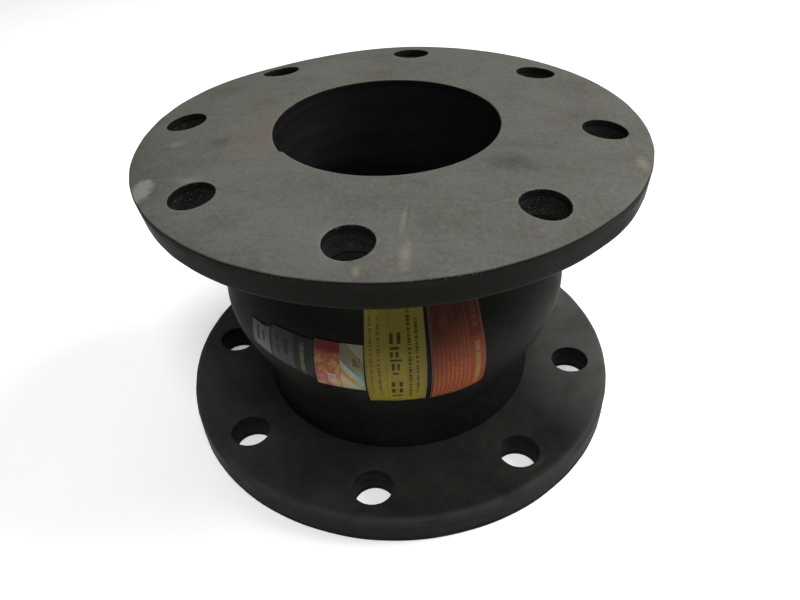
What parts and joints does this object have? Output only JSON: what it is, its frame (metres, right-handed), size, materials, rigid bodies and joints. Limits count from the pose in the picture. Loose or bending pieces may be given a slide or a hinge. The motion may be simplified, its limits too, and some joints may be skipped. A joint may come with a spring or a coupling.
{
  "type": "rubber expansion joint",
  "caption": "Single wide arch rubber pipe expansion joint with integral drilled rubber flanges, fabric plies and embedded steel body rings.",
  "frame": {"origin": "centre of the lower flange's sealing face, on the pipe axis", "axes": "+Z along the pipe axis, from the lower flange to the upper flange; bolt holes lie on +X and +Y and every 45 degrees"},
  "size_m": [0.2286, 0.2286, 0.1524],
  "materials": {
    "facing_rubber": "matt moulded rubber, dusty",
    "cover_rubber": "satin black rubber",
    "tube_rubber": "smooth black rubber",
    "rubbered_fabric": "woven fabric skimmed with rubber",
    "ring_steel": "drawn steel bar",
    "grey_label": "printed paper label",
    "red_label": "printed paper label",
    "yellow_label": "printed paper label",
    "orange_label": "printed paper label"
  },
  "bodies": {
    "lower_flange": {"lower_flange_facing": "facing_rubber", "lower_flange_inner_ply": "rubbered_fabric", "lower_flange_outer_ply": "rubbered_fabric", "lower_flange_cover": "cover_rubber"},
    "lower_neck": {"lower_neck_ring": "ring_steel"},
    "lower_arch_foot": {"lower_arch_ring": "ring_steel"},
    "arch": {"body_tube": "tube_rubber", "body_inner_plies": "rubbered_fabric", "body_outer_plies": "rubbered_fabric", "body_cover": "cover_rubber", "identity_label": "grey_label", "colour_label": "red_label", "yellow_label": "yellow_label", "orange_label": "orange_label"},
    "upper_arch_foot": {"upper_arch_ring": "ring_steel"},
    "upper_neck": {"upper_neck_ring": "ring_steel"},
    "upper_flange": {"upper_flange_facing": "facing_rubber", "upper_flange_inner_ply": "rubbered_fabric", "upper_flange_outer_ply": "rubbered_fabric", "upper_flange_cover": "cover_rubber"}
  },
  "joints": [
    {"name": "lateral_x", "type": "slide", "parent": "lower_flange", "child": "lower_neck", "axis": [1, 0, 0], "range_m": [-0.013, 0.013], "stiffness_N_per_m": 48000},
    {"name": "angular_x", "type": "hinge", "parent": "lower_neck", "child": "lower_arch_foot", "pos_m": [0, 0, 0.0762], "axis": [1, 0, 0], "range_deg": [-7, 7], "stiffness_Nm_per_rad": 300},
    {"name": "axial", "type": "slide", "parent": "lower_arch_foot", "child": "arch", "axis": [0, 0, 1], "range_m": [-0.011, 0.006], "stiffness_N_per_m": 56000, "deforming": ["body_tube", "body_inner_plies", "body_outer_plies", "body_cover", "identity_label", "colour_label", "yellow_label", "orange_label"]},
    {"name": "angular_y", "type": "hinge", "parent": "arch", "child": "upper_arch_foot", "pos_m": [0, 0, 0.0762], "axis": [0, 1, 0], "range_deg": [-7, 7], "stiffness_Nm_per_rad": 300},
    {"name": "lateral_y", "type": "slide", "parent": "upper_arch_foot", "child": "upper_neck", "axis": [0, 1, 0], "range_m": [-0.013, 0.013], "stiffness_N_per_m": 48000},
    {"name": "torsion", "type": "hinge", "parent": "upper_neck", "child": "upper_flange", "pos_m": [0, 0, 0.0762], "axis": [0, 0, 1], "range_deg": [-3, 3], "stiffness_Nm_per_rad": 800}
  ]
}
